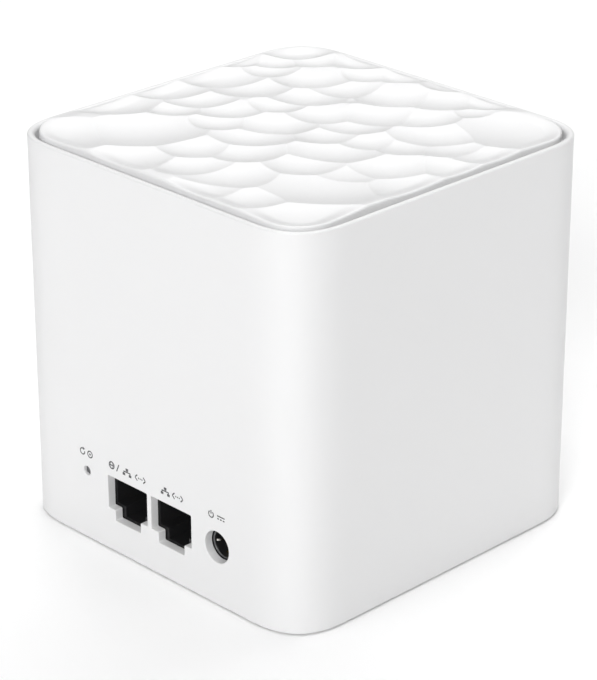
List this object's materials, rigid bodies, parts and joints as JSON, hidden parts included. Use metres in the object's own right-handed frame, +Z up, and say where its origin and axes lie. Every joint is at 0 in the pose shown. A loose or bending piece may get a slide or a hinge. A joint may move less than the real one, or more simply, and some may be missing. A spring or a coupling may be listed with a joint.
{
  "type": "mesh wifi node",
  "caption": "Cube-shaped mesh wifi node: white square sleeve with round corners, a rippled carved top cap, network sockets, power inlet and reset pinhole.",
  "frame": {"origin": "middle of the footprint, on the surface the feet stand on", "axes": "+Z up; -Y out of the rear face that holds the ports; +Y out of the front face with the status light"},
  "size_m": [0.0894, 0.0894, 0.0913],
  "materials": {
    "shell_white": "satin white moulding",
    "base_white": "fine spark texture",
    "foot_rubber": "matte",
    "screw_steel": "zinc plated",
    "label_paper": "satin film, blank",
    "board_fr4": "green solder mask",
    "chip_epoxy": "matte moulded epoxy",
    "pad_silicone": "soft matte",
    "tinned_steel": "tin plated",
    "sink_aluminium": "plain extruded",
    "pin_nylon": "natural nylon",
    "inductor_ferrite": "sintered ferrite",
    "socket_black": "fine matte",
    "contact_gold": "gold flash",
    "pin_nickel": "nickel plated",
    "plunger_plastic": "smooth",
    "led_phosphor": "clear lens over phosphor",
    "pipe_clear": "polished clear acrylic",
    "frame_abs": "natural moulding",
    "lead_jacket": "smooth jacket"
  },
  "bodies": {
    "case": {"housing_sleeve": "shell_white", "top_cap": "shell_white", "base_cover": "base_white", "foot_1": "foot_rubber", "foot_2": "foot_rubber", "foot_3": "foot_rubber", "foot_4": "foot_rubber", "base_screws": "screw_steel", "rating_label": "label_paper", "main_pcb": "board_fr4", "pcb_screws": "screw_steel", "cpu_chip": "chip_epoxy", "cpu_pad": "pad_silicone", "ram_chip": "chip_epoxy", "ram_pad": "pad_silicone", "flash_chip": "chip_epoxy", "switch_chip": "chip_epoxy", "power_chip": "chip_epoxy", "crystal": "tinned_steel", "heat_sink": "sink_aluminium", "heat_sink_pins": "pin_nylon", "shield_can_left": "tinned_steel", "shield_can_right": "tinned_steel", "radio_chip_left": "chip_epoxy", "radio_chip_right": "chip_epoxy", "transformer_wan": "chip_epoxy", "transformer_lan": "chip_epoxy", "inductor_1": "inductor_ferrite", "inductor_2": "inductor_ferrite", "capacitor_1": "sink_aluminium", "capacitor_2": "sink_aluminium", "rj45_housing": "socket_black", "rj45_contacts_wan": "contact_gold", "rj45_contacts_lan": "contact_gold", "dc_jack_housing": "socket_black", "dc_pin": "pin_nickel", "dc_spring_contact": "contact_gold", "dc_tabs": "tinned_steel", "reset_riser": "socket_black", "reset_leads": "tinned_steel", "reset_switch_base": "socket_black", "reset_switch_cover": "tinned_steel", "reset_dome": "tinned_steel", "status_led": "led_phosphor", "light_pipe": "pipe_clear", "antenna_frame": "frame_abs", "frame_screws": "screw_steel", "antenna_left": "board_fr4", "antenna_right": "board_fr4", "antenna_lead_left": "lead_jacket", "antenna_lead_right": "lead_jacket", "antenna_plug_left": "contact_gold", "antenna_plug_right": "contact_gold", "antenna_sockets": "contact_gold"},
    "reset_button": {"reset_plunger": "plunger_plastic"}
  },
  "joints": [
    {"name": "reset_press", "type": "slide", "parent": "case", "child": "reset_button", "axis": [0, 1, 0], "range_m": [0, 0.00025], "stiffness_N_per_m": 200, "springref_m": -0.004}
  ]
}
